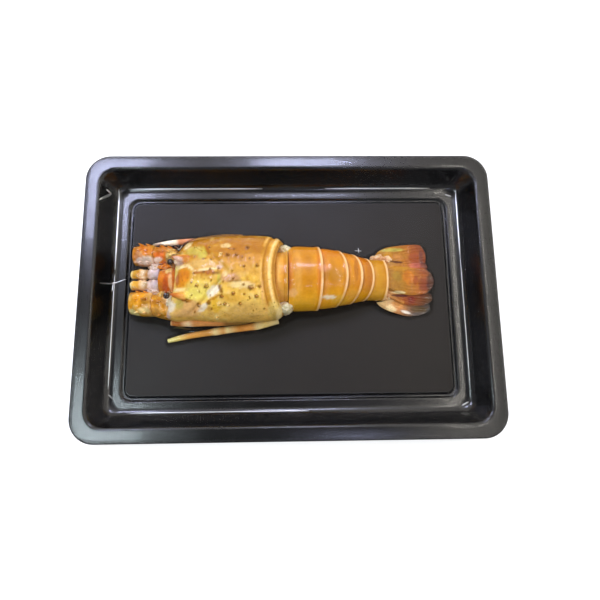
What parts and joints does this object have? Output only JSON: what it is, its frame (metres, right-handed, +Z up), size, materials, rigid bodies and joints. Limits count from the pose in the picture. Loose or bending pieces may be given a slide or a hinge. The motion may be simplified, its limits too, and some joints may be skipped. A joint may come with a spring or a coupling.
{
  "type": "vacuum skin packaging tray with a cooked spiny lobster",
  "caption": "Black rectangular tray with a wide flange and a grooved floor, holding a cooked spiny lobster under clear vacuum skin film.",
  "frame": {"origin": "middle of the tray's footprint, on the surface it stands on", "axes": "+X along the tray from the lobster's head to its tail, +Y away from the viewer, +Z up"},
  "size_m": [0.32, 0.2214, 0.0504],
  "materials": {
    "tray": "black formed sheet, glossy on the flange and walls, fine matte texture on the centre panel",
    "film": "clear glossy skin film",
    "carapace": "ochre cooked shell with brown spots",
    "abdomen": "orange cooked shell with cream bands at the joints",
    "tail_fan": "rusty brown, thin and slightly see-through at the ends",
    "head": "red-orange shell with pale patches",
    "leg": "orange shell with pale joints",
    "joint_skin": "pale soft skin",
    "eye": "dark brown, glossy"
  },
  "bodies": {
    "root": {"tray": "tray", "skin_film": "film", "carapace": "carapace", "antennular_plate": "head", "antennule_near": "head", "antennule_far": "head", "antenna_base_near_inner": "head", "antenna_base_near_outer": "head", "antenna_base_far_inner": "head", "antenna_base_far_outer": "head", "eye_near": "eye", "eye_far": "eye", "joint_skin_near": "joint_skin", "joint_skin_far": "joint_skin", "leg_near_long": "leg", "leg_near_short": "leg", "leg_far_long": "leg", "abdomen_segment_1": "abdomen", "abdomen_segment_2": "abdomen", "abdomen_segment_3": "abdomen", "abdomen_segment_4": "abdomen", "abdomen_segment_5": "abdomen", "abdomen_segment_6": "abdomen", "telson": "tail_fan", "uropod_near_inner": "tail_fan", "uropod_far_inner": "tail_fan", "uropod_near_outer": "tail_fan", "uropod_far_outer": "tail_fan"}
  },
  "joints": []
}
